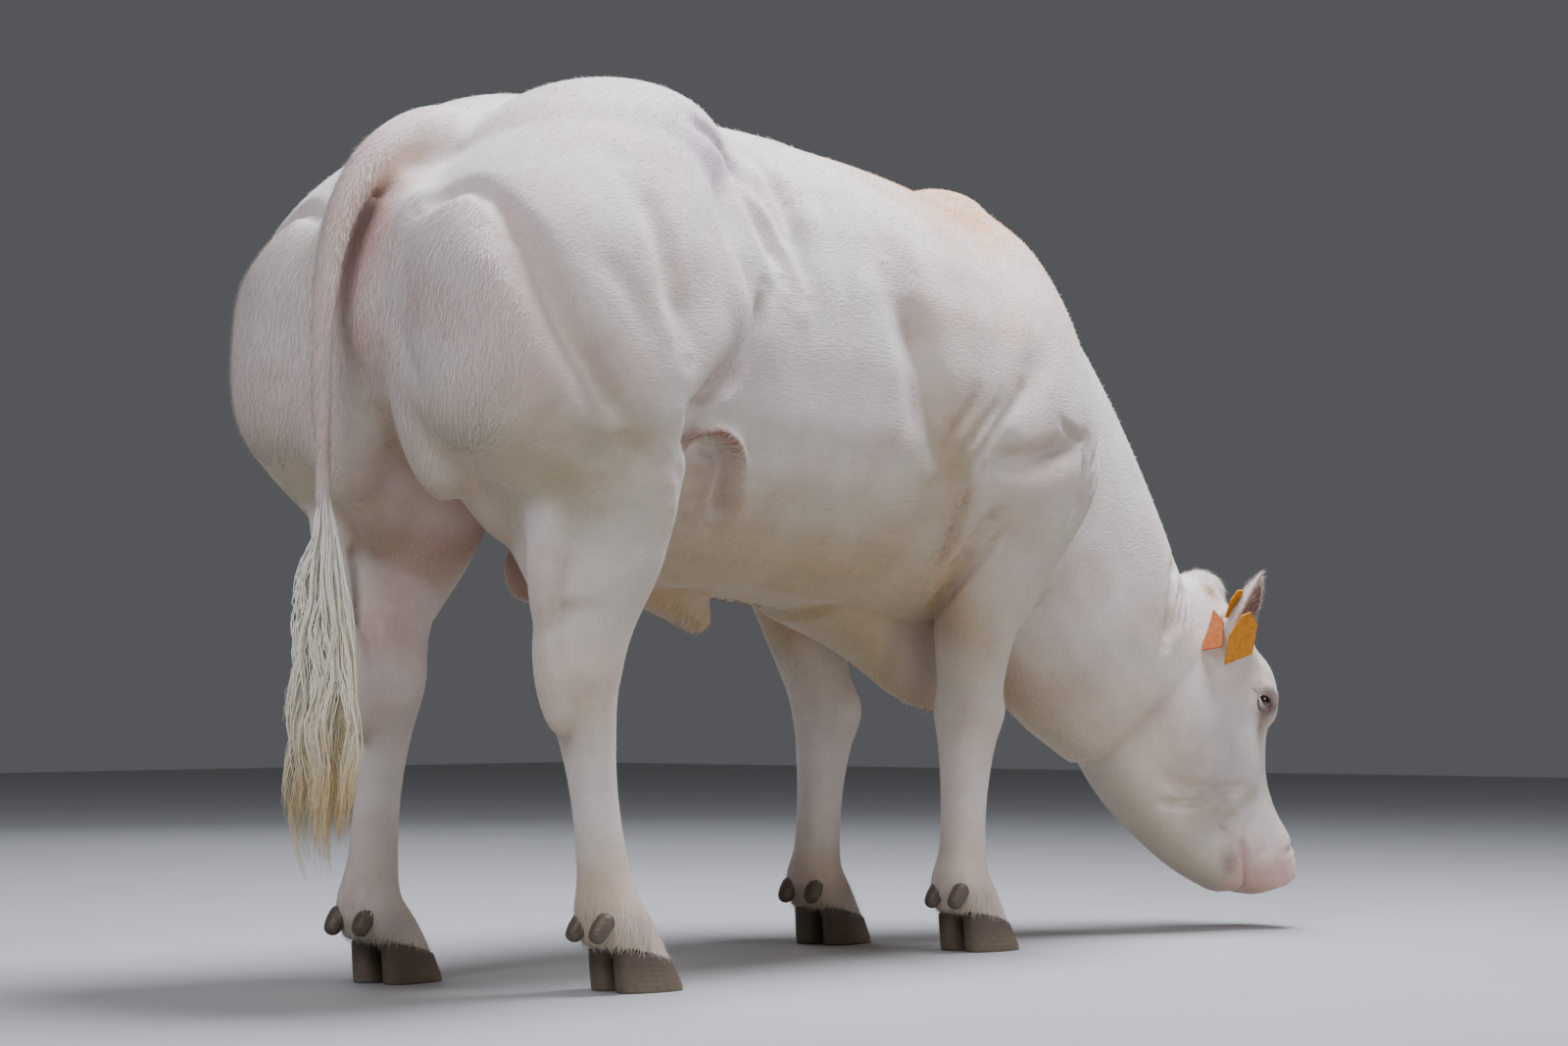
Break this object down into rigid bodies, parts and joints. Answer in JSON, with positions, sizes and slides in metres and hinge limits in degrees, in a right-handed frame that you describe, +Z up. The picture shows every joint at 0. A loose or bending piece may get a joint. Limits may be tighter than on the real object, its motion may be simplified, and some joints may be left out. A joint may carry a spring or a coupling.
{
  "type": "belgian blue cattle",
  "caption": "Life-size still figure of a white double-muscled beef bull that grazes with its nose at the ground, tail hanging and tags in one ear.",
  "frame": {"origin": "on the floor under the middle of the figure's bounding box", "axes": "+X towards the muzzle, +Y to the animal's left, +Z up"},
  "size_m": [2.476, 0.8062, 1.4917],
  "materials": {
    "hide": "short off-white coat over pink skin",
    "switch_hair": "long cream hair, yellower at its tips",
    "bare_skin": "thin-haired reddish skin",
    "horn": "dark hoof horn",
    "eye": "wet dark eye",
    "tag_yellow": "bare yellow ear tag",
    "tag_orange": "bare orange ear tag"
  },
  "bodies": {
    "root": {"claw_fore_left_inner": "horn", "claw_fore_left_outer": "horn", "claw_fore_right_inner": "horn", "claw_fore_right_outer": "horn", "claw_hind_left_inner": "horn", "claw_hind_left_outer": "horn", "claw_hind_right_inner": "horn", "claw_hind_right_outer": "horn", "dewclaw_fore_left_inner": "horn", "dewclaw_fore_left_outer": "horn", "dewclaw_fore_right_inner": "horn", "dewclaw_fore_right_outer": "horn", "dewclaw_hind_left_inner": "horn", "dewclaw_hind_left_outer": "horn", "dewclaw_hind_right_inner": "horn", "dewclaw_hind_right_outer": "horn", "ear_left": "hide", "ear_right": "hide", "eye_left": "eye", "eye_right": "eye", "fore_cannon_left": "hide", "fore_cannon_right": "hide", "forearm_left": "hide", "forearm_right": "hide", "head": "hide", "hind_cannon_left": "hide", "hind_cannon_right": "hide", "hind_shank_left": "hide", "hind_shank_right": "hide", "hindquarters": "hide", "neck": "hide", "scrotum": "bare_skin", "tag_back": "tag_orange", "tag_front": "tag_yellow", "tag_stud": "tag_yellow", "tail_dock": "hide", "tail_shaft": "hide", "tail_switch": "switch_hair", "torso": "hide"}
  },
  "joints": []
}
